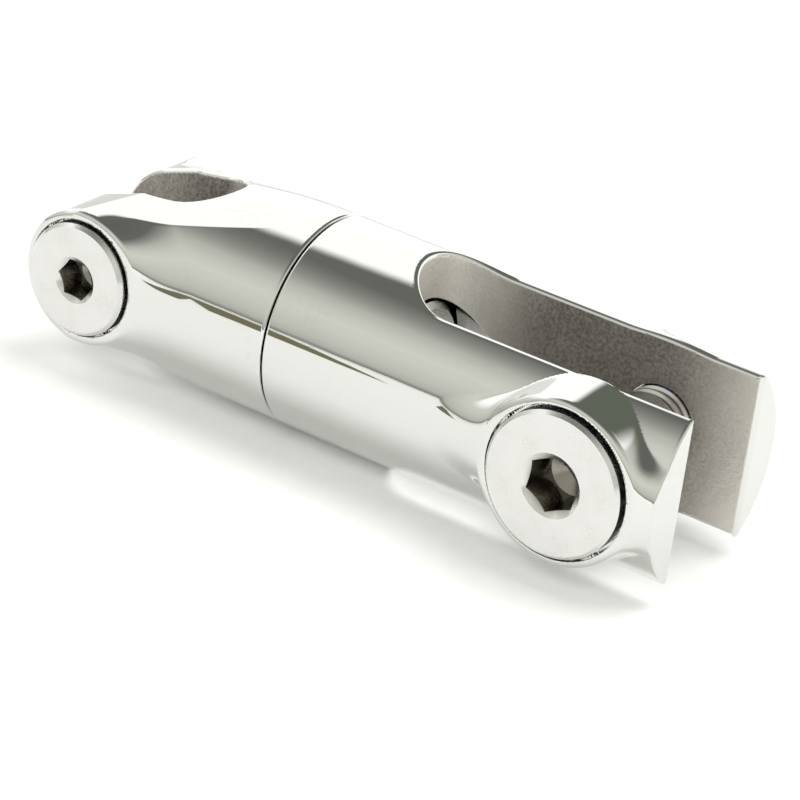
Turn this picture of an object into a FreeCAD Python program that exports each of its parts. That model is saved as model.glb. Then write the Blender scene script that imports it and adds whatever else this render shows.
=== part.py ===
"""Anchor swivel: two stainless forks on one swivel bolt, joining an anchor shank to a chain.

Frame, in millimetres: the origin is where the anchor pin's axis crosses the swivel axis.
+X runs along the swivel axis, out through the mouth of the long fork, so the chain is at -X.
The pins lie along Y with their heads at -Y, and both forks are open upwards and downwards, along Z.
"""
import FreeCAD, Part
import math
import os

Vector = FreeCAD.Vector
X_AXIS = Vector(1, 0, 0)
Y_AXIS = Vector(0, 1, 0)
Z_AXIS = Vector(0, 0, 1)

# Layout along the swivel axis
PIN_SPACING = 90.5        # anchor pin to chain pin
JOINT_X = -55.0           # middle of the gap between the two forks
MOUTH_X = 16.2            # flat end of the long fork
CHAIN_X = -PIN_SPACING
JOINT_GAP = 0.3           # running gap, the thin line round the barrel

# Fork bodies
BARREL_R = 17.5
ANCHOR_SLOT = 20.0        # opening for the anchor shank
ANCHOR_SLOT_DEEP = 53.7   # from the mouth to the root of the slot
CHAIN_SLOT = 14.0         # opening for one chain link
CHAIN_SLOT_DEEP = 16.0    # from the chain pin's axis to the root of the slot
EDGE = 0.4                # broken outer edges
SLOT_EDGE = 0.35          # broken edges of the slots
# Radius of the short fork's body, at distances from the joint; it is trimmed at the rounded end
TAPER = [(0.0, 17.5), (12.0, 16.8), (24.6, 15.0), (PIN_SPACING + JOINT_X, 13.03), (60.0, 9.3)]

# Bosses that carry the pins: heads on the near side, rounded shoulders on the far side
ANCHOR_BOSS = dict(x=0.0, radius=13.3, near_y=19.4, far_y=17.8, far_round=3.4)
CHAIN_BOSS = dict(x=CHAIN_X, radius=11.05, near_y=18.0, far_y=17.0, far_round=2.4)
BLEND = 5.0               # hollow blend from boss to body
RIM_ROUND = 0.9           # rounded outer edge of each near face
EAR_SLOPE = 0.35          # clears the ears' tops, rising from the chain pin to the joint

# Pins: flat head in a counterbore, socket key, shoulder in the near ear, thread in the far ear
PIN_FIT = 0.05            # radial running clearance of each shank
ANCHOR_PIN = dict(x=0.0, head_r=11.6, head_y=20.6, seat_y=16.4, pocket_r=12.15,
                  shoulder_r=6.4, shank_y=-ANCHOR_SLOT / 2, shank_r=6.0, end_y=17.0,
                  pitch=1.75, thread_r=5.9, thread_y=6.25, patch_y=10.6,
                  hex_af=8.0, hex_deep=6.5, hex_turn=25.0)
CHAIN_PIN = dict(x=CHAIN_X, head_r=9.3, head_y=19.2, seat_y=15.4, pocket_r=9.7,
                 shoulder_r=5.4, shank_y=-CHAIN_SLOT / 2, shank_r=5.0, end_y=16.2,
                 pitch=1.5, thread_r=4.9, thread_y=4.4, patch_y=7.6,
                 hex_af=6.0, hex_deep=5.5, hex_turn=-5.0)
HEAD_CHAMFER = 0.55
PATCH_WIDE = 2.4          # nylon locking patch let into each pin's thread
PATCH_DEEP = 1.6
PATCH_LONG = 5.0

# Swivel: shoulder bolt, with distances along X from the joint
SHOULDER_R = 6.0
BUSH_R = 7.5
SEAT_AT = 10.0            # floor of the counterbore for the bolt's head
HEAD_WASHER = 0.95
HEAD_AT = 11.0            # under side of the bolt's head
HEAD_END = 18.5
BOLT_HEAD_R = 9.35
BOLT_POCKET_R = 9.85
BOLT_HEX = 10.0
BOLT_HEX_DEEP = 5.0
GROOVE_PITCH = 0.8        # fine turned grooves round the bolt's head
GROOVE_DEEP = 0.12
THRUST_R = 12.5           # thrust washer between the forks
THRUST_HOLE_R = 6.35
RECESS = 0.85             # depth of each fork's recess for it, from the joint
THREAD_R = 5.0
BOLT_PITCH = 1.5
BOLT_TIP = -13.0
LOCK_FACE = BOLT_TIP      # lock screw jammed against the bolt's tip
LOCK_END = -18.4
LOCK_HEX = 5.0
LOCK_HEX_DEEP = 3.0

FAR = 40.0                # longer than any piece, for cutting tools


def rod(radius, start, end, axis, x=0.0):
    """Solid cylinder along X or Y between two coordinates."""
    base = Vector(start, 0, 0) if axis == X_AXIS else Vector(x, start, 0)
    return Part.makeCylinder(radius, end - start, base, axis)


def tube(inner, outer, start, end):
    """Ring about the swivel axis."""
    return rod(outer, start, end, X_AXIS).cut(rod(inner, start - 1, end + 1, X_AXIS))


def box(x, y, z):
    """Box from three (low, high) pairs."""
    return Part.makeBox(x[1] - x[0], y[1] - y[0], z[1] - z[0], Vector(x[0], y[0], z[0]))


def spun(outline, axis, origin=Vector(0, 0, 0)):
    """Solid of revolution of (along, radius) points about an axis through origin."""
    points = []
    for along, radius in outline:
        points.append(origin + axis * along + Z_AXIS * radius)
    face = Part.Face(Part.makePolygon(points + points[:1]))
    return face.revolve(origin, axis, 360)


def edges_on(shape, test):
    """Edges of the shape whose every sampled point passes the test."""
    found = []
    for edge in shape.Edges:
        if all(test(point) for point in edge.discretize(9)):
            found.append(edge)
    return found


def near(value, target, slack=0.01):
    return abs(value - target) < slack


def thread_outline(start, end, radius, pitch):
    """(along, radius) points of a thread cut inwards from the given radius, with a chamfered end."""
    depth = 0.6 * pitch
    step = 1 if end > start else -1
    turns = int((abs(end - start) - depth) / pitch)
    points = []
    for turn in range(turns):
        root = start + step * pitch * turn
        points += [(root + step * 0.12 * pitch, radius), (root + step * 0.44 * pitch, radius - depth),
                   (root + step * 0.56 * pitch, radius - depth), (root + step * 0.88 * pitch, radius)]
    return points + [(end - step * depth, radius), (end, radius - depth)]


def hex_socket(across, deep, open_r, turn):
    """Tool for a socket opening at the origin towards -Z: hexagon, drill point and countersink."""
    corner = across / math.sqrt(3)
    points = []
    for side in range(7):
        angle = math.radians(turn + 60 * side)
        points.append(Vector(corner * math.cos(angle), corner * math.sin(angle), 0))
    prism = Part.Face(Part.makePolygon(points)).extrude(Z_AXIS * deep)
    point = Part.makeCone(across / 2 - 0.2, 0.2, across / 4, Vector(0, 0, deep), Z_AXIS)
    sink_deep = (open_r - across / 2) * 0.7
    sink = Part.makeCone(open_r, across / 2, sink_deep)
    return prism.fuse([point, sink])


def on_skin(shape):
    """Test for points that lie on the outside of a solid."""
    skin = shape.Shells[0]
    return lambda point: skin.distToShape(Part.Vertex(point))[0] < 0.01


def fork_blank(body, boss):
    """Body with a boss on each side along Y, blended where they meet, and faced on the near side."""
    near_boss = rod(boss["radius"], -FAR, 0, Y_AXIS, boss["x"])
    far_boss = rod(boss["radius"], 0, boss["far_y"], Y_AXIS, boss["x"])
    shoulder = edges_on(far_boss, lambda p: near(p.y, boss["far_y"]))
    bosses = near_boss.fuse(far_boss.makeFillet(boss["far_round"], shoulder))
    on_body, on_boss = on_skin(body), on_skin(bosses)
    solid = body.fuse(bosses).removeSplitter()
    solid = solid.makeFillet(BLEND, edges_on(solid, lambda p: on_body(p) and on_boss(p)))
    return solid.common(box((-200, 100), (-boss["near_y"], FAR), (-FAR, FAR)))


def round_rim(blank, boss):
    """Round the outer edge of the near boss face."""
    return blank.makeFillet(RIM_ROUND, edges_on(blank, lambda p: near(p.y, -boss["near_y"])))


def slotted(blank, slot):
    """Cut the slot and break its outer edges, apart from those on the long fork's flat mouth."""
    on_blank, on_slot = on_skin(blank), on_skin(slot)
    fork = blank.cut(slot)
    outer = edges_on(fork, lambda p: on_blank(p) and on_slot(p))
    return fork.makeFillet(SLOT_EDGE, [edge for edge in outer if edge.BoundBox.XMin < MOUTH_X - 1])


def pin_bores(pin):
    """Tools for one pin: a bore through each ear and the counterbore for the head."""
    far_bore = rod(pin["shank_r"] + PIN_FIT, 0, FAR, Y_AXIS, pin["x"])
    near_bore = rod(pin["shoulder_r"] + PIN_FIT, -FAR, 0, Y_AXIS, pin["x"])
    pocket = rod(pin["pocket_r"], -FAR, -pin["seat_y"], Y_AXIS, pin["x"])
    return [far_bore, near_bore, pocket]


def long_fork():
    """Fork for the anchor shank: round barrel, open slot, two bosses."""
    start = JOINT_X + JOINT_GAP / 2
    blank = fork_blank(rod(BARREL_R, start, MOUTH_X + FAR, X_AXIS), ANCHOR_BOSS)
    blank = blank.common(box((start, MOUTH_X), (-FAR, FAR), (-FAR, FAR)))
    blank = round_rim(blank, ANCHOR_BOSS)
    blank = blank.makeFillet(EDGE, edges_on(blank, lambda p: near(p.x, start)))
    half = ANCHOR_SLOT / 2
    root = MOUTH_X - ANCHOR_SLOT_DEEP + half
    slot = box((root, FAR), (-half, half), (-FAR, FAR))
    slot = slot.fuse(Part.makeCylinder(half, 2 * FAR, Vector(root, 0, -FAR), Z_AXIS))
    swivel = [rod(BUSH_R, JOINT_X, JOINT_X + SEAT_AT, X_AXIS),
              rod(BOLT_POCKET_R, JOINT_X + SEAT_AT, root, X_AXIS),
              rod(THRUST_R + 0.1, JOINT_X, JOINT_X + RECESS, X_AXIS)]
    fork = slotted(blank, slot.removeSplitter())
    fork = fork.makeFillet(EDGE, edges_on(fork, lambda p: near(p.x, MOUTH_X)))
    return fork.cut(swivel + pin_bores(ANCHOR_PIN))


def short_fork():
    """Fork for the chain: tapering body, rounded end, two bosses, tapped for the swivel bolt."""
    end = JOINT_X - JOINT_GAP / 2
    curve = Part.BSplineCurve()
    curve.interpolate([Vector(JOINT_X - back, 0, radius) for back, radius in TAPER])
    left = JOINT_X - TAPER[-1][0]
    lines = Part.makePolygon([Vector(left, 0, TAPER[-1][1]), Vector(left, 0, 0),
                              Vector(JOINT_X, 0, 0), Vector(JOINT_X, 0, TAPER[0][1])])
    outline = Part.Wire(Part.sortEdges([curve.toShape()] + lines.Edges)[0])
    body = Part.Face(outline).revolve(Vector(0, 0, 0), X_AXIS, 360)
    blank = fork_blank(body, CHAIN_BOSS)
    radius = CHAIN_BOSS["radius"]
    rise = radius + EAR_SLOPE * (end - CHAIN_X)
    side = Part.makePolygon([Vector(CHAIN_X, 0, radius), Vector(end, 0, rise), Vector(end, 0, -rise),
                             Vector(CHAIN_X, 0, -radius), Vector(CHAIN_X, 0, radius)])
    ears = Part.Face(side).extrude(Y_AXIS * 2 * FAR)
    ears.translate(Vector(0, -FAR, 0))
    round_end = blank.common(rod(radius, -FAR, FAR, Y_AXIS, CHAIN_X))
    blank = blank.common(ears).fuse(round_end).removeSplitter()
    blank = round_rim(blank, CHAIN_BOSS)
    blank = blank.makeFillet(EDGE, edges_on(blank, lambda p: near(p.x, end)))
    half = CHAIN_SLOT / 2
    root = CHAIN_X + CHAIN_SLOT_DEEP - half
    slot = box((CHAIN_X - FAR, root), (-half, half), (-FAR, FAR))
    slot = slot.fuse(Part.makeCylinder(half, 2 * FAR, Vector(root, 0, -FAR), Z_AXIS))
    swivel = [rod(THREAD_R + 0.02, root, JOINT_X, X_AXIS),
              rod(THRUST_R + 0.1, JOINT_X - RECESS + 0.05, JOINT_X, X_AXIS)]
    return slotted(blank, slot.removeSplitter()).cut(swivel + pin_bores(CHAIN_PIN))


def patch_slot(pin, grow=0.0):
    """Nylon patch along the top of a pin's thread, or the slot for it."""
    top = pin["thread_r"] + 0.05
    wide = PATCH_WIDE / 2
    block = box((pin["x"] - wide, pin["x"] + wide), (pin["patch_y"], pin["patch_y"] + PATCH_LONG),
                (top - PATCH_DEEP, top + 1 + grow))
    return block.common(rod(top + grow, -FAR, FAR, Y_AXIS, pin["x"]))


def fork_pin(pin):
    """Flat-headed pin with a hexagon socket, a shoulder, a plain shank and a threaded end."""
    head, radius, seat = pin["head_y"], pin["head_r"], pin["seat_y"]
    outline = [(-head, 0), (-head, radius - HEAD_CHAMFER), (-head + HEAD_CHAMFER, radius),
               (-seat - 0.3, radius), (-seat, radius - 0.3), (-seat, pin["shoulder_r"]),
               (pin["shank_y"], pin["shoulder_r"]), (pin["shank_y"], pin["shank_r"]),
               (pin["thread_y"], pin["shank_r"]), (pin["thread_y"], pin["thread_r"])]
    outline += thread_outline(pin["thread_y"], pin["end_y"], pin["thread_r"], pin["pitch"])
    outline += [(pin["end_y"], 0)]
    body = spun(outline, Y_AXIS, Vector(pin["x"], 0, 0))
    key = hex_socket(pin["hex_af"], pin["hex_deep"], pin["hex_af"] * 0.64, -pin["hex_turn"])
    key.rotate(Vector(0, 0, 0), X_AXIS, -90)
    key.translate(Vector(pin["x"], -head, 0))
    return body.cut([key, patch_slot(pin, 2.0)])


def swivel_bolt():
    """Shoulder bolt: grooved head in the long fork's slot, thread in the short fork."""
    groove = GROOVE_PITCH / 2
    outline = [(HEAD_AT, SHOULDER_R), (HEAD_AT, BOLT_HEAD_R)]
    for count in range(int((HEAD_END - 1.2 - HEAD_AT) / GROOVE_PITCH)):
        at = HEAD_AT + 0.3 + count * GROOVE_PITCH
        outline += [(at, BOLT_HEAD_R), (at + groove, BOLT_HEAD_R - GROOVE_DEEP)]
    outline += [(HEAD_END - 0.9, BOLT_HEAD_R), (HEAD_END, BOLT_HEAD_R - 0.9), (HEAD_END, 0)]
    thread = thread_outline(-RECESS, BOLT_TIP, THREAD_R, BOLT_PITCH)
    shank = [(BOLT_TIP, 0)] + thread[::-1] + [(-RECESS + 0.05, THREAD_R), (-RECESS + 0.05, SHOULDER_R)]
    body = spun(shank + outline, X_AXIS, Vector(JOINT_X, 0, 0))
    key = hex_socket(BOLT_HEX, BOLT_HEX_DEEP, BOLT_HEX * 0.62, 0)
    key.rotate(Vector(0, 0, 0), Y_AXIS, -90)
    key.translate(Vector(JOINT_X + HEAD_END, 0, 0))
    return body.cut(key)


def lock_screw():
    """Socket set screw jammed against the tip of the swivel bolt."""
    outline = [(LOCK_FACE, 0), (LOCK_FACE, THREAD_R - 0.9)]
    outline += thread_outline(LOCK_FACE - 0.4, LOCK_END, THREAD_R, BOLT_PITCH) + [(LOCK_END, 0)]
    body = spun(outline, X_AXIS, Vector(JOINT_X, 0, 0))
    key = hex_socket(LOCK_HEX, LOCK_HEX_DEEP, LOCK_HEX * 0.62, 0)
    key.rotate(Vector(0, 0, 0), Y_AXIS, 90)
    key.translate(Vector(JOINT_X + LOCK_END, 0, 0))
    return body.cut(key)


def ring(inner, outer, start, end):
    """Plain washer or bush about the swivel axis, at distances from the joint."""
    return tube(inner, outer, JOINT_X + start, JOINT_X + end)


def main():
    parts = {
        "long_fork": long_fork(),
        "short_fork": short_fork(),
        "anchor_pin": fork_pin(ANCHOR_PIN),
        "chain_pin": fork_pin(CHAIN_PIN),
        "anchor_pin_lock_patch": patch_slot(ANCHOR_PIN),
        "chain_pin_lock_patch": patch_slot(CHAIN_PIN),
        "swivel_bolt": swivel_bolt(),
        "swivel_bush": ring(SHOULDER_R + PIN_FIT, BUSH_R, RECESS, SEAT_AT),
        "head_washer": ring(THRUST_HOLE_R, BOLT_POCKET_R - 0.3, SEAT_AT, SEAT_AT + HEAD_WASHER),
        "joint_washer": ring(THRUST_HOLE_R, THRUST_R, -RECESS + 0.1, RECESS),
        "lock_screw": lock_screw(),
    }
    os.makedirs("parts", exist_ok=True)
    for name, shape in parts.items():
        shape.exportStep(f"parts/{name}.step")


if __name__ == "__main__":
    main()
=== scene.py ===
"""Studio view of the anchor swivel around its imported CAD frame.

The two forks are rebuilt as fine, smooth meshes for their mirror polish. Their shapes are worked out
in millimetres as distance fields and turned into metres when the meshes are made.
"""

import math

import bpy
import numpy as np
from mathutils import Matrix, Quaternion, Vector


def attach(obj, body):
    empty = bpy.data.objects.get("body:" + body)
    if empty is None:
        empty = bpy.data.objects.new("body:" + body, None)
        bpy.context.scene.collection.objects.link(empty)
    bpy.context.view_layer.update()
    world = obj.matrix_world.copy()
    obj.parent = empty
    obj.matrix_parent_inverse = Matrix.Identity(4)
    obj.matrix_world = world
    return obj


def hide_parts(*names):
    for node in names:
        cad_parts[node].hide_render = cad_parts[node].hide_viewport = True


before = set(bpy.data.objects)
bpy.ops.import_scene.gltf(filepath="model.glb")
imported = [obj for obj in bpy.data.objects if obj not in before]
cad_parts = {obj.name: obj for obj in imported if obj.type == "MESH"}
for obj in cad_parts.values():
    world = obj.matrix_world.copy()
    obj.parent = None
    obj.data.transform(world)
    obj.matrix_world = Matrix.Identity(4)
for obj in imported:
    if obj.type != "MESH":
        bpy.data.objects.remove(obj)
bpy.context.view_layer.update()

MM = 0.001

# Camera, in metres and degrees
CAMERA_AT = (0.2286, -0.4398, 0.2441)
CAMERA_LOOKS_AT = (-0.0311, -0.0143, 0.0)
CAMERA_ROLL = 7.69
LENS = 165.8
SENSOR = 36.0
CLIP = (0.01, 20.0)

# Studio, in metres
FLOOR_Z = -0.0175
FLOOR_SIZE = (6.0, 6.0)
FLOOR_COLOUR = (0.93, 0.93, 0.92)
FLOOR_ROUGH = 0.6
KEY = dict(at=(0.3, 0.2, 1.0), size=0.7, power=8.0)
FILL = dict(at=(0.1, -0.9, 0.6), size=0.9, power=6.5)
FLAG_SIZE = (0.038, 0.43)                # dark card, seen only as a thin line in the polish
FLAG_AT = (-0.248, -0.339, FLOOR_Z + 0.0005)
FLAG_TURN = -33.3
FLAG_COLOUR = (0.12, 0.11, 0.05)
FLAG_ROUGH = 0.7
SPECKLE_TONE = 0.985                     # floor's and card's faint darker speckle

# Room seen in the polish, by direction: brightness against height, then the sheet and the gap over it
ROOM = ((0.0, 0.3), (0.05, 0.64), (0.15, 0.76), (0.3, 0.85), (0.45, 0.91), (0.57, 0.82), (0.68, 0.66),
        (0.77, 0.4), (0.86, 0.19), (1.0, 0.17))
ROOM_TINT = (1.0, 1.02, 0.93)
SHEET_NORMAL = (-0.735, 0.478, -0.48)
SHEET_EDGE = (-0.05, 0.05)
SHEET_HEIGHT = (0.35, 0.55)
SHEET_BEHIND = (0.18, 0.3)
SHEET_SLANT = 0.4                        # how fast the sheet behind draws back towards the right
SHEET_SLANT_FROM = -0.3
WHITE_SHEET = (1.5, 1.5, 1.48, 1)
GAP_LEFT = (-0.42, -0.32)
GAP_RIGHT = (0.6, 0.3)
GAP_HEIGHT = (0.42, 0.55)
GAP_BEHIND = (0.1, 0.25)
DARK_GAP = (0.17, 0.19, 0.15, 1)

# Forks, in millimetres: the swivel's axis is x, the pins run along y, and the anchor pin is at x = 0
BARREL_R = 17.5
JOINT = -55.0
JOINT_GAP = 0.3
MOUTH = 16.2
EDGE = 0.45
SLOT_EDGE = 0.8
POCKET_EDGE = 0.12
ANCHOR = dict(x=0.0, radius=13.3, near_y=19.4, far_y=17.8, far_round=3.4, far_blend=8.0, rim=1.1,
              flare=11.0, flare_min=1.0, flare_power=12, free_end=0.0, pocket_r=12.15, seat_y=16.38,
              near_bore=6.45, far_bore=6.05)
CHAIN = dict(x=-90.5, radius=11.05, near_y=18.0, far_y=17.8, far_round=2.4, far_blend=8.0, rim=1.1,
             flare=8.0, flare_min=2.5, flare_power=2, free_end=0.5, pocket_r=9.7, seat_y=15.38,
             near_bore=5.45, far_bore=5.05)
ANCHOR_SLOT = dict(half=10.0, root=-27.5, side=1)
CHAIN_SLOT = dict(half=7.0, root=-81.5, side=-1)
LEAST_FLARE = 0.2                        # keeps some flare where the body reaches the boss's face
EAR_TOP = 14.55                          # anchor ears: half height at the pin, growing with distance squared
EAR_TOP_CURVE = 0.012
EAR_ROUND = 2.5
EAR_RISE = 0.35                          # chain ears: slope of the top towards the joint
CHAIN_EAR_ROUND = 3.0
CHAIN_EAR_EDGE = 0.3
TAPER_AT = (0.0, 12.0, 24.6, 35.5, 60.0)  # chain fork: half height against distance from the joint
TAPER_Z = (17.5, 16.8, 15.0, 13.03, 9.3)
TAPER_BEFORE = -2.0
TAPER = np.polyfit(TAPER_AT, TAPER_Z, 4)
TAPER_SLOPE = np.polyder(TAPER)
CROWN_SPREAD = 0.4                       # how fast its top and bottom flatten away from the joint
CROWN_EDGE = 2.5
BUSH_BORE = 7.5
HEAD_SPACE = dict(radius=9.85, seat=-45.0, edge=0.2)
WASHER_RECESS = dict(radius=12.6, depth=0.85)
BOLT_BORE = 5.02

# Meshing, in millimetres
GRID = 0.3
GRID_SHIFT = 0.0137                      # keeps grid planes off the forks' flat faces
LONGEST_STEP = 0.3 * GRID
CELL_REACH = 0.8 * GRID
CENTRE_PULL = 0.05                       # holds a vertex where its tangent planes leave it free
EDGE_PASSES = 2
VERTEX_PASSES = 4
STEEP_ENOUGH = 0.2                       # crossings where the field is flatter along the edge aren't moved
NORMAL_STEP = 0.04
SHARP_COS = 0.85                         # below it a corner's normal is taken nearer to the face's centre
TOWARDS_FACE = 0.4
LONG_FORK_BOX = (-56, -21, -19), (17.5, 19.5, 19)
SHORT_FORK_BOX = (-103, -20, -19), (-54, 19, 19)

# Finishes: places in millimetres, then colours
SLOT_FACE_SLACK = 0.04
ANCHOR_SOCKET = dict(x=0.0, radius=5.4, face=-20.6)
CHAIN_SOCKET = dict(x=-90.5, radius=4.2, face=-19.2)
# Painted shade down the pins' key sockets: how far it fades in at the rim, and the depth below the face
# where it is full
SOCKET_EDGE = 0.1
SOCKET_SHADE = 1.2
# Painted light on the slots' blasted faces: brighter at the outer values of x, towards both ends of the
# slot, and not at all between the inner ones
ANCHOR_SLOT_PAINTED_LIGHT = ((-38.0, -20.0), (-2.0, 20.0))
CHAIN_SLOT_PAINTED_LIGHT = ((-115.0, -98.0), (-84.0, -60.0))
SECOND_END_PAINTED_LIGHT = 0.9                      # how strong the painted light is at the second end, against 1 at the first
POLISH, POLISH_HAZED = (0.665, 0.665, 0.65, 1), (0.63, 0.63, 0.615, 1)
BLASTED_DARK, BLASTED_LIGHT = (0.18, 0.164, 0.147, 1), (0.33, 0.307, 0.282, 1)
# Blasted colour where painted light brightens the slots' ends
BLASTED_PAINTED_LIGHT = (0.78, 0.75, 0.7, 1)
SATIN, SATIN_MARKED = (0.68, 0.67, 0.66, 1), (0.65, 0.64, 0.63, 1)
# Colour of the painted shade inside the pins' key sockets
SOCKET_PAINTED_SHADE = (0.27, 0.25, 0.225, 1)
BRONZE, BRONZE_DULL = (0.66, 0.46, 0.22, 1), (0.42, 0.27, 0.13, 1)
ACETAL, ACETAL_RUBBED = (0.82, 0.80, 0.74, 1), (0.74, 0.71, 0.64, 1)
NYLON, NYLON_RUBBED = (0.06, 0.16, 0.42, 1), (0.04, 0.11, 0.32, 1)


# --- Distance fields: (distance, direction) pairs, negative inside the solid ---

def field(value, gx, gy, gz):
    """A distance with its direction, from the direction's three parts."""
    return value, np.stack(np.broadcast_arrays(gx, gy, gz, value)[:3], axis=-1)


def length(*v):
    return np.sqrt(sum(c * c for c in v)) + 1e-9


def pick(mask, a, b):
    """One field where the mask is true, the other elsewhere."""
    return np.where(mask, a[0], b[0]), np.where(mask[..., None], a[1], b[1])


def flip(a):
    return -a[0], -a[1]


def joined(a, b, radius):
    """Union of two solids with a hollow blend of that radius, whatever angle they meet at."""
    plain = pick(a[0] < b[0], a, b)
    cos = np.clip((a[1] * b[1]).sum(-1), -0.999, 0.999)
    u, v = radius - a[0], radius - b[0]
    ua, vb = u - cos * v, v - cos * u
    flat = 1 - cos * cos
    reach = np.sqrt(np.maximum(u * ua + v * vb, 1e-9) / flat)
    g = (ua[..., None] * a[1] + vb[..., None] * b[1]) / (flat * reach)[..., None]
    return pick((ua > 0) & (vb > 0), (radius - reach, g), plain)


def shared(a, b, radius=0.0):
    """What two solids share, with the edge between them rounded."""
    if radius:
        return flip(joined(flip(a), flip(b), radius))
    return pick(a[0] > b[0], a, b)


def rod_x(p, radius):
    r = length(p[..., 1], p[..., 2])
    return field(r - radius, 0.0, p[..., 1] / r, p[..., 2] / r)


def rod_y(p, radius, at):
    r = length(p[..., 0] - at, p[..., 2])
    return field(r - radius, (p[..., 0] - at) / r, 0.0, p[..., 2] / r)


def half_space(p, normal, offset):
    """Points whose height along the normal is below the offset."""
    n = np.array(normal, float)
    return field(p @ n - offset, *n)


def flared(p, body, body_at, boss):
    """Body raised smoothly to meet the rim of a near boss's face."""
    x, z = p[..., 0] - boss["x"], p[..., 2]
    rho = length(x, z)
    radius = boss["radius"] + boss["free_end"] * np.maximum(-x / rho, 0)
    rim_x, rim_z = radius * x / rho, radius * z / rho
    rim = np.stack([boss["x"] + rim_x, np.full_like(x, -boss["near_y"]), rim_z], axis=-1)
    height = np.maximum(body_at(rim)[0], LEAST_FLARE)
    reach = boss["flare_min"] + boss["flare"] * np.abs(x / rho) ** boss["flare_power"]
    out = (rho - radius) / reach
    rise = height * np.where(out < 0, 1 - 2 * out, np.maximum(1 - out, 0) ** 2)
    slope = 2 * height / reach * np.clip(1 - out, 0, 1)
    g = body[1] + np.stack([slope * x / rho, np.zeros_like(x), slope * z / rho], axis=-1)
    steep = np.linalg.norm(g, axis=-1)
    return (body[0] - rise) / steep, g / steep[..., None]


def boss_joined(p, body, body_at, boss, limit, limit_round):
    """Body with a flared near boss and a filleted far boss, both kept within a limit."""
    near_side = shared(flared(p, body, body_at, boss), limit, limit_round)
    plain = shared(body, limit, limit_round)
    near_side = pick(plain[0] < near_side[0], plain, near_side)
    near_side = shared(near_side, half_space(p, (0, -1, 0), boss["near_y"]), boss["rim"])
    wall = rod_y(p, boss["radius"], boss["x"])
    far = shared(wall, half_space(p, (0, 1, 0), boss["far_y"]), boss["far_round"])
    far_side = shared(joined(body, far, boss["far_blend"]), limit, limit_round)
    return pick(p[..., 1] < 0, near_side, far_side)


def slot_of(p, slot):
    """The slot's own space: a half-round root that runs on to the open end."""
    back = np.minimum((p[..., 0] - slot["root"]) * slot["side"], 0) * slot["side"]
    r = length(back, p[..., 1])
    return field(r - slot["half"], back / r, p[..., 1] / r, 0.0)


def drilled(p, solid, pin):
    """Bores for a pin, with the pocket for its head."""
    near = p[..., 1] < 0
    bore = pick(near, rod_y(p, pin["near_bore"], pin["x"]), rod_y(p, pin["far_bore"], pin["x"]))
    pocket = shared(rod_y(p, pin["pocket_r"], pin["x"]), half_space(p, (0, 1, 0), -pin["seat_y"]))
    solid = shared(solid, flip(pocket), POCKET_EDGE)
    return shared(solid, flip(bore))


def recessed(p, solid, side):
    """Recess for the joint's washer, on the given side of the joint."""
    floor = half_space(p, (side, 0, 0), side * JOINT + WASHER_RECESS["depth"])
    return shared(solid, flip(shared(rod_x(p, WASHER_RECESS["radius"]), floor)))


def long_fork_at(p):
    top = field(np.abs(p[..., 2]) - EAR_TOP - EAR_TOP_CURVE * p[..., 0] ** 2, 0.0, 0.0, np.sign(p[..., 2]))
    solid = boss_joined(p, rod_x(p, BARREL_R), lambda q: rod_x(q, BARREL_R), ANCHOR, top, EAR_ROUND)
    solid = shared(solid, half_space(p, (1, 0, 0), MOUTH), EDGE)
    solid = shared(solid, half_space(p, (-1, 0, 0), -JOINT - JOINT_GAP / 2), EDGE)
    solid = shared(solid, flip(slot_of(p, ANCHOR_SLOT)), SLOT_EDGE)
    solid = drilled(p, solid, ANCHOR)
    head = shared(rod_x(p, HEAD_SPACE["radius"]), half_space(p, (-1, 0, 0), -HEAD_SPACE["seat"]))
    solid = shared(solid, flip(head), HEAD_SPACE["edge"])
    solid = recessed(p, solid, 1)
    return shared(solid, flip(rod_x(p, BUSH_BORE)))


def ear_space(p):
    """The chain ears seen from the side: round at the open end, then rising to the joint."""
    x = p[..., 0] - CHAIN["x"]
    cos = 1 / math.sqrt(1 + EAR_RISE * EAR_RISE)
    tangent = CHAIN["radius"] / cos
    slab = field((np.abs(p[..., 2]) - tangent - EAR_RISE * x) * cos, -EAR_RISE * cos, 0.0,
                 np.sign(p[..., 2]) * cos)
    return pick(x < -CHAIN["radius"] * EAR_RISE * cos, rod_y(p, CHAIN["radius"], CHAIN["x"]), slab)


def chain_body_at(p):
    """Barrel cut by a crowned top and bottom that fall away from the joint."""
    back = np.clip(JOINT - p[..., 0], TAPER_BEFORE, TAPER_AT[-1])
    crown = BARREL_R + CROWN_SPREAD * back
    above = np.abs(p[..., 2]) - np.polyval(TAPER, back) + crown
    level = length(p[..., 1], above)
    gx = CROWN_SPREAD + above / level * (np.polyval(TAPER_SLOPE, back) - CROWN_SPREAD)
    steep = length(gx, 1.0)
    top = field((level - crown) / steep, gx / steep, p[..., 1] / level / steep,
                np.sign(p[..., 2]) * above / level / steep)
    body = shared(rod_x(p, BARREL_R), top, CROWN_EDGE)
    return shared(body, ear_space(p), CHAIN_EAR_ROUND)


def short_fork_at(p):
    solid = boss_joined(p, chain_body_at(p), chain_body_at, CHAIN, ear_space(p), CHAIN_EAR_EDGE)
    solid = shared(solid, half_space(p, (1, 0, 0), JOINT - JOINT_GAP / 2), EDGE)
    solid = shared(solid, flip(slot_of(p, CHAIN_SLOT)), SLOT_EDGE)
    solid = drilled(p, solid, CHAIN)
    solid = recessed(p, solid, -1)
    return shared(solid, flip(rod_x(p, BOLT_BORE)))


# --- Meshing by dual contouring: one vertex in each grid cell the surface crosses ---

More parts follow.
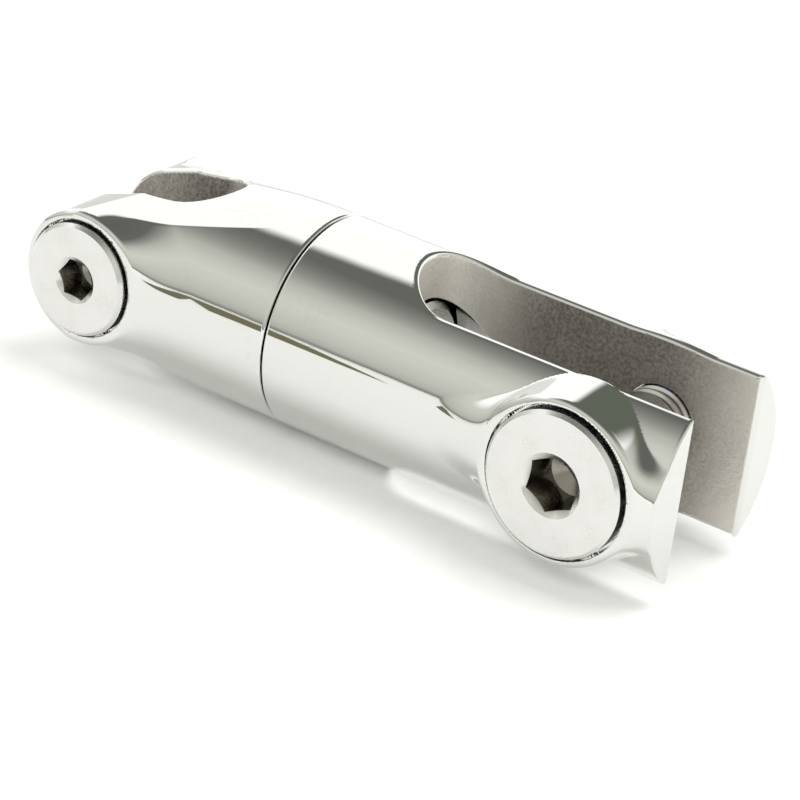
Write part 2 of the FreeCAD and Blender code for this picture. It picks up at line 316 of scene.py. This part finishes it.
def sampled(form, low, high):
    """The field's values on a grid over a box, with the grid's first point."""
    counts = np.ceil((np.array(high) - np.array(low)) / GRID).astype(int) + 1
    axes = [low[i] + GRID * np.arange(counts[i]) + GRID_SHIFT for i in range(3)]
    values = np.empty(counts)
    for i, x in enumerate(axes[0]):
        layer = np.stack(np.meshgrid([x], axes[1], axes[2], indexing="ij"), axis=-1)
        values[i] = form(layer)[0][0]
    return values, np.array([a[0] for a in axes])


def crossings(form, values, origin, axis):
    """Grid edges along an axis that cross the surface: start, crossing, way out, and if they leave."""
    unit = np.eye(3, dtype=int)[axis]
    inside = values < 0
    before, after = [slice(None)] * 3, [slice(None)] * 3
    before[axis], after[axis] = slice(None, -1), slice(1, None)
    starts = np.argwhere(inside[tuple(before)] != inside[tuple(after)])
    a, b = values[tuple(starts.T)], values[tuple((starts + unit).T)]
    points = origin + (starts + unit * (a / (a - b))[:, None]) * GRID
    for _ in range(EDGE_PASSES):
        f, g = form(points)
        slope = np.where(np.abs(g[:, axis]) < STEEP_ENOUGH, 1e9, g[:, axis])
        points = points - unit * np.clip(f / slope, -LONGEST_STEP, LONGEST_STEP)[:, None]
    return starts, points, form(points)[1], a < 0


def cells_around(starts, axis):
    """The four cells that share each grid edge, in order around it."""
    i, j = [k for k in range(3) if k != axis]
    around = []
    for di, dj in ((0, 0), (-1, 0), (-1, -1), (0, -1)):
        shift = np.zeros(3, int)
        shift[i], shift[j] = di, dj
        around.append(starts + shift)
    return np.stack(around, axis=1)


def cell_vertices(points, normals, cell, count):
    """In each cell, the point nearest to the tangent planes at the crossings on its edges."""
    centre = np.zeros((count, 3))
    np.add.at(centre, cell, points)
    centre /= np.bincount(cell)[:, None]
    planes = np.zeros((count, 3, 3))
    heights = np.zeros((count, 3))
    offset = points - centre[cell]
    np.add.at(planes, cell, normals[:, :, None] * normals[:, None, :])
    np.add.at(heights, cell, normals * (normals * offset).sum(1)[:, None])
    planes += CENTRE_PULL * np.eye(3)
    moved = np.linalg.solve(planes, heights[..., None])[..., 0]
    return centre + np.clip(moved, -CELL_REACH, CELL_REACH)


def contour(form, low, high):
    """Vertices and quads of the field's zero surface, with vertices set on its sharp edges."""
    values, origin = sampled(form, low, high)
    cells, points, normals, quads = [], [], [], []
    for axis in range(3):
        starts, hits, slopes, leaving = crossings(form, values, origin, axis)
        around = cells_around(starts, axis)
        cells.append(around.swapaxes(0, 1).reshape(-1, 3))
        points.append(np.tile(hits, (4, 1)))
        normals.append(np.tile(slopes, (4, 1)))
        backward = leaving != (axis != 1)  # along y the other axes come as x, z, which turns quads over
        around[backward] = around[backward][:, ::-1]
        quads.append(around)
    cells, points, normals, quads = (np.concatenate(v) for v in (cells, points, normals, quads))
    used, cell = np.unique(np.ravel_multi_index(cells.T, values.shape), return_inverse=True)
    vertices = cell_vertices(points, normals, cell, len(used))
    for _ in range(VERTEX_PASSES):
        f, g = form(vertices)
        vertices = vertices - np.clip(f, -LONGEST_STEP, LONGEST_STEP)[:, None] * g
    ids = np.searchsorted(used, np.ravel_multi_index(np.moveaxis(quads, -1, 0), values.shape))
    return vertices, ids


def normals_at(form, points):
    """Unit normals from small differences of the field."""
    total = np.zeros_like(points)
    for corner in ((1, 1, 1), (1, -1, -1), (-1, 1, -1), (-1, -1, 1)):
        step = np.array(corner, float)
        total += form(points + NORMAL_STEP * step)[0][..., None] * step
    return total / (np.linalg.norm(total, axis=-1, keepdims=True) + 1e-12)


def smooth_normals(form, vertices, quads):
    """A normal for each corner: the surface's own, taken on the face's side of a sharp edge."""
    at_corner = normals_at(form, vertices)[quads]
    centres = vertices[quads].mean(1)
    a, b, c, d = vertices[quads].swapaxes(0, 1)
    faces = np.cross(c - a, d - b)
    faces /= np.linalg.norm(faces, axis=1, keepdims=True) + 1e-12
    apart = (at_corner * faces[:, None]).sum(-1) < SHARP_COS
    row, corner = np.nonzero(apart)
    beside = vertices[quads[row, corner]] * (1 - TOWARDS_FACE) + centres[row] * TOWARDS_FACE
    at_corner[row, corner] = normals_at(form, beside)
    return at_corner


def fork_mesh(name, form, low, high):
    vertices, quads = contour(form, low, high)
    normals = smooth_normals(form, vertices, quads)
    mesh = bpy.data.meshes.new(name)
    mesh.from_pydata((vertices * MM).tolist(), [], quads.tolist())
    mesh.polygons.foreach_set("use_smooth", [True] * len(quads))
    mesh.normals_split_custom_set(normals.reshape(-1, 3).tolist())
    mesh.update()
    piece = bpy.data.objects.new(name, mesh)
    bpy.context.scene.collection.objects.link(piece)
    return piece


# --- Materials: procedural, in the object's own metres ---

class Graph:
    """A material's node tree, with short ways to add nodes to it."""

    def __init__(self, tree):
        self.nodes, self.links = tree.nodes, tree.links

    def add(self, kind, inputs=None, **settings):
        node = self.nodes.new("ShaderNode" + kind)
        for name, value in settings.items():
            setattr(node, name, value)
        for name, value in (inputs or {}).items():
            self.feed(node.inputs[name], value)
        return node

    def feed(self, socket, value):
        """Links a socket to another, or sets it to a plain value."""
        if isinstance(value, bpy.types.NodeSocket):
            self.links.new(value, socket)
        else:
            socket.default_value = value

    def maths(self, operation, *values):
        return self.add("Math", dict(enumerate(values)), operation=operation).outputs[0]

    def smooth(self, value, low, high, start=0.0, end=1.0):
        node = self.add("MapRange", {0: value, 1: low, 2: high, 3: start, 4: end},
                        interpolation_type="SMOOTHSTEP")
        return node.outputs[0]

    def mix(self, amount, a, b):
        return self.add("Mix", {0: amount, 6: a, 7: b}, data_type="RGBA").outputs[2]

    def noise(self, where, size, detail=2.0):
        """Noise whose features are about the given size in metres."""
        node = self.add("TexNoise", {"Vector": where, "Scale": 1 / size, "Detail": detail})
        return node.outputs[0]

    def split(self, vector):
        return self.add("SeparateXYZ", {0: vector}).outputs


def new_material(name):
    """A material with the graph, shader and object coordinates to build it from."""
    material = bpy.data.materials.new(name)
    material.use_nodes = True
    graph = Graph(material.node_tree)
    where = graph.add("TexCoord").outputs["Object"]
    return material, graph, material.node_tree.nodes["Principled BSDF"], where


def surface(graph, shader, colour, rough, metal, height, depth):
    """Connects colour, roughness and a bump whose full height is the depth in metres."""
    graph.feed(shader.inputs["Base Color"], colour)
    graph.feed(shader.inputs["Roughness"], rough)
    shader.inputs["Metallic"].default_value = metal
    bump = graph.add("Bump", {"Height": height, "Strength": 1.0, "Distance": depth})
    graph.links.new(bump.outputs[0], shader.inputs["Normal"])


def polished_steel():
    """Hand-buffed mirror: slow waves, faint haze and hairline scratches."""
    material, graph, shader, where = new_material("polished steel")
    haze = graph.noise(where, 0.012, 4.0)
    smears = graph.noise(where, 0.0012, 3.0)
    cloud = graph.maths("MULTIPLY", graph.smooth(haze, 0.45, 0.75), graph.smooth(smears, 0.35, 0.8))
    rough = graph.maths("MULTIPLY_ADD", cloud, 0.07, 0.03)
    colour = graph.mix(cloud, POLISH, POLISH_HAZED)
    stretched = graph.add("Mapping", {"Vector": where, "Scale": (0.04, 1.0, 1.0),
                                      "Rotation": (0.0, 0.25, 0.1)}).outputs[0]
    hairs = graph.smooth(graph.noise(stretched, 0.0003, 2.0), 0.68, 0.76)
    waves = graph.noise(where, 0.007, 1.0)
    height = graph.maths("MULTIPLY_ADD", hairs, -0.012, waves)
    surface(graph, shader, colour, rough, 1.0, height, 0.000012)
    return material


def blasted_steel(name, wear_and_painted_light):
    """Bead-blasted skin inside a slot: fine pits, with painted light brightening it outside a stretch of the
    slot's length.
    """
    material, graph, shader, where = new_material(name)
    patches = graph.noise(where, 0.006, 4.0)
    grain = graph.noise(where, 0.00055, 3.0)
    tone = graph.maths("ADD", graph.maths("MULTIPLY", patches, 0.3), graph.maths("MULTIPLY", grain, 0.7))
    colour = graph.mix(graph.smooth(tone, 0.32, 0.68), BLASTED_DARK, BLASTED_LIGHT)
    x = graph.split(where)[0]
    (first_bright, first_plain), (second_plain, second_bright) = wear_and_painted_light
    # Painted light: the blasted colour brightens towards both ends of the slot
    painted_light_mask = graph.maths("MAXIMUM", graph.smooth(x, first_plain * MM, first_bright * MM),
                         graph.smooth(x, second_plain * MM, second_bright * MM, 0.0, SECOND_END_PAINTED_LIGHT))
    colour = graph.mix(painted_light_mask, colour, BLASTED_PAINTED_LIGHT)
    rough = graph.smooth(grain, 0.3, 0.7, 0.36, 0.5)
    height = graph.maths("ADD", grain, graph.maths("MULTIPLY", graph.noise(where, 0.0018, 2.0), 1.2))
    surface(graph, shader, colour, rough, 0.6, height, 0.00010)
    return material


def down_socket(graph, where, socket):
    """Mask of painted shade: rises from 0 to 1 on the way into a pin's key socket."""
    x, y, z = graph.split(where)
    aside = graph.maths("ADD", x, -socket["x"] * MM)
    radius = graph.maths("SQRT", graph.maths("ADD", graph.maths("MULTIPLY", aside, aside),
                                             graph.maths("MULTIPLY", z, z)))
    across = graph.smooth(radius, (socket["radius"] + SOCKET_EDGE) * MM, socket["radius"] * MM)
    down = graph.smooth(y, (socket["face"] + SOCKET_EDGE) * MM, (socket["face"] + SOCKET_SHADE) * MM)
    return graph.maths("MULTIPLY", across, down)


def satin_steel(name, socket=None):
    """Turned and lightly brushed steel: soft sheen with fine grain, and painted shade down a key socket."""
    material, graph, shader, where = new_material(name)
    marks = graph.noise(where, 0.004, 4.0)
    grain = graph.noise(where, 0.00035, 2.0)
    colour = graph.mix(graph.smooth(marks, 0.35, 0.7), SATIN, SATIN_MARKED)
    mixed = graph.maths("ADD", graph.maths("MULTIPLY", marks, 0.5), graph.maths("MULTIPLY", grain, 0.5))
    rough = graph.smooth(mixed, 0.35, 0.65, 0.2, 0.28)
    if socket:
        # Painted shade: darker down the key socket
        colour = graph.mix(down_socket(graph, where, socket), colour, SOCKET_PAINTED_SHADE)
    surface(graph, shader, colour, rough, 1.0, grain, 0.0000015)
    return material


def bronze():
    """Plain bronze bush: turned, slightly dulled."""
    material, graph, shader, where = new_material("bronze")
    dull = graph.noise(where, 0.003, 4.0)
    rings = graph.add("Mapping", {"Vector": where, "Scale": (1.0, 0.05, 0.05)}).outputs[0]
    grooves = graph.noise(rings, 0.0003, 2.0)
    colour = graph.mix(graph.smooth(dull, 0.35, 0.7), BRONZE, BRONZE_DULL)
    surface(graph, shader, colour, graph.smooth(dull, 0.3, 0.7, 0.25, 0.42), 1.0, grooves, 0.00001)
    return material


def plastic(name, fresh, worn, rough):
    """Moulded plastic with a faint grain and rubbed patches."""
    material, graph, shader, where = new_material(name)
    wear_and_painted_light = graph.noise(where, 0.002, 3.0)
    grain = graph.noise(where, 0.0003, 3.0)
    colour = graph.mix(graph.smooth(wear_and_painted_light, 0.3, 0.7), fresh, worn)
    surface(graph, shader, colour, graph.smooth(wear_and_painted_light, 0.3, 0.7, rough, rough + 0.15), 0.0, grain, 0.00002)
    return material


def finish_nodes():
    """Gives every CAD node its material."""
    satin = satin_steel("satin steel")
    acetal = plastic("acetal", ACETAL, ACETAL_RUBBED, 0.35)
    nylon = plastic("nylon", NYLON, NYLON_RUBBED, 0.4)
    anchor_pin = satin_steel("anchor pin steel", ANCHOR_SOCKET)
    chain_pin = satin_steel("chain pin steel", CHAIN_SOCKET)
    finishes = dict(anchor_pin=anchor_pin, chain_pin=chain_pin, swivel_bolt=satin, lock_screw=satin,
                    long_fork=satin, short_fork=satin, swivel_bush=bronze(), head_washer=acetal,
                    joint_washer=acetal, anchor_pin_lock_patch=nylon, chain_pin_lock_patch=nylon)
    for name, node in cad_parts.items():
        node.data.materials.clear()
        node.data.materials.append(finishes[name])


def finish_fork(piece, slot, polish, blast):
    """Polished outside, blasted on the faces of the slot."""
    piece.data.materials.append(polish)
    piece.data.materials.append(blast)
    centres = np.empty(len(piece.data.polygons) * 3)
    piece.data.polygons.foreach_get("center", centres)
    inside = np.abs(slot_of(centres.reshape(-1, 3) / MM, slot)[0]) < SLOT_FACE_SLACK
    piece.data.polygons.foreach_set("material_index", inside.astype(int))


# --- Studio ---

def set_camera():
    data = bpy.data.cameras.new("camera")
    data.lens = LENS
    data.sensor_width = SENSOR
    camera = bpy.data.objects.new("camera", data)
    bpy.context.scene.collection.objects.link(camera)
    camera.location = CAMERA_AT
    back = Vector(CAMERA_AT) - Vector(CAMERA_LOOKS_AT)
    camera.rotation_mode = "QUATERNION"
    roll = Quaternion((0, 0, 1), math.radians(CAMERA_ROLL))
    camera.rotation_quaternion = back.to_track_quat("Z", "Y") @ roll
    data.clip_start, data.clip_end = CLIP
    bpy.context.scene.camera = camera


def only_in_reflections(card):
    card.visible_camera = False
    card.visible_diffuse = False
    card.visible_shadow = False
    card.visible_transmission = False


def add_plane(name, size, at, colour, rough):
    mesh = bpy.data.meshes.new(name)
    x, y = size[0] / 2, size[1] / 2
    mesh.from_pydata([(-x, -y, 0), (x, -y, 0), (x, y, 0), (-x, y, 0)], [], [(0, 1, 2, 3)])
    plane = bpy.data.objects.new(name, mesh)
    bpy.context.scene.collection.objects.link(plane)
    plane.location = at
    material, graph, shader, where = new_material(name)
    speckle = graph.noise(where, 0.004, 3.0)
    darker = tuple(SPECKLE_TONE * c for c in colour)
    tone = graph.mix(graph.smooth(speckle, 0.3, 0.7), (*colour, 1), (*darker, 1))
    surface(graph, shader, tone, rough, 0.0, speckle, 0.00001)
    mesh.materials.append(material)
    return plane


def add_softbox(name, at, size, power):
    """Square area light aimed at the object; the polish mirrors the room instead of it."""
    data = bpy.data.lights.new(name, "AREA")
    data.size = size
    data.energy = power
    light = bpy.data.objects.new(name, data)
    bpy.context.scene.collection.objects.link(light)
    light.location = at
    light.rotation_mode = "QUATERNION"
    light.rotation_quaternion = Vector(at).to_track_quat("Z", "Y")
    light.visible_glossy = False


def room_ramp(graph, height):
    """The room's brightness by height of the direction looked in."""
    ramp = graph.add("ValToRGB", {0: height})
    stops = ramp.color_ramp.elements
    stops[0].position, stops[1].position = ROOM[0][0], ROOM[-1][0]
    for at, level in ROOM[1:-1]:
        stops.new(at)
    for stop, (_, level) in zip(stops, ROOM):
        stop.color = (*(level * tint for tint in ROOM_TINT), 1)
    return ramp.outputs[0]


def world_light():
    """Room seen in the polish: grey in front, dark overhead, a white sheet behind and over the left."""
    world = bpy.data.worlds.new("studio")
    bpy.context.scene.world = world
    world.use_nodes = True
    graph = Graph(world.node_tree)
    where = graph.add("TexCoord").outputs["Generated"]
    x, y, z = graph.split(where)
    room = room_ramp(graph, z)
    sheet = graph.add("VectorMath", {0: where, 1: SHEET_NORMAL}, operation="DOT_PRODUCT").outputs["Value"]
    over = graph.maths("MULTIPLY", graph.smooth(sheet, *SHEET_EDGE), graph.smooth(z, *SHEET_HEIGHT))
    aside = graph.maths("MAXIMUM", graph.maths("SUBTRACT", x, SHEET_SLANT_FROM), 0.0)
    drawn_back = graph.maths("SUBTRACT", y, graph.maths("MULTIPLY", aside, SHEET_SLANT))
    behind = graph.smooth(drawn_back, *SHEET_BEHIND)
    lit = graph.mix(graph.maths("MAXIMUM", over, behind), room, WHITE_SHEET)
    gap = graph.maths("MULTIPLY", graph.smooth(x, *GAP_LEFT), graph.smooth(x, *GAP_RIGHT))
    gap = graph.maths("MULTIPLY", gap, graph.smooth(z, *GAP_HEIGHT))
    gap = graph.maths("MULTIPLY", gap, graph.smooth(y, *GAP_BEHIND))
    graph.links.new(graph.mix(gap, lit, DARK_GAP), graph.nodes["Background"].inputs[0])


finish_nodes()
polish = polished_steel()
long_fork = fork_mesh("long_fork_polished", long_fork_at, *LONG_FORK_BOX)
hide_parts("long_fork")
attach(long_fork, "long_fork_body")
finish_fork(long_fork, ANCHOR_SLOT, polish, blasted_steel("anchor slot steel", ANCHOR_SLOT_PAINTED_LIGHT))
short_fork = fork_mesh("short_fork_polished", short_fork_at, *SHORT_FORK_BOX)
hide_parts("short_fork")
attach(short_fork, "short_fork_body")
finish_fork(short_fork, CHAIN_SLOT, polish, blasted_steel("chain slot steel", CHAIN_SLOT_PAINTED_LIGHT))

set_camera()
add_plane("floor", FLOOR_SIZE, (0, 0, FLOOR_Z), FLOOR_COLOUR, FLOOR_ROUGH)
flag = add_plane("flag", FLAG_SIZE, FLAG_AT, FLAG_COLOUR, FLAG_ROUGH)
flag.rotation_euler = (0, 0, math.radians(FLAG_TURN))
only_in_reflections(flag)
add_softbox("key", **KEY)
add_softbox("fill", **FILL)
world_light()
bpy.context.scene.view_settings.view_transform = "Standard"
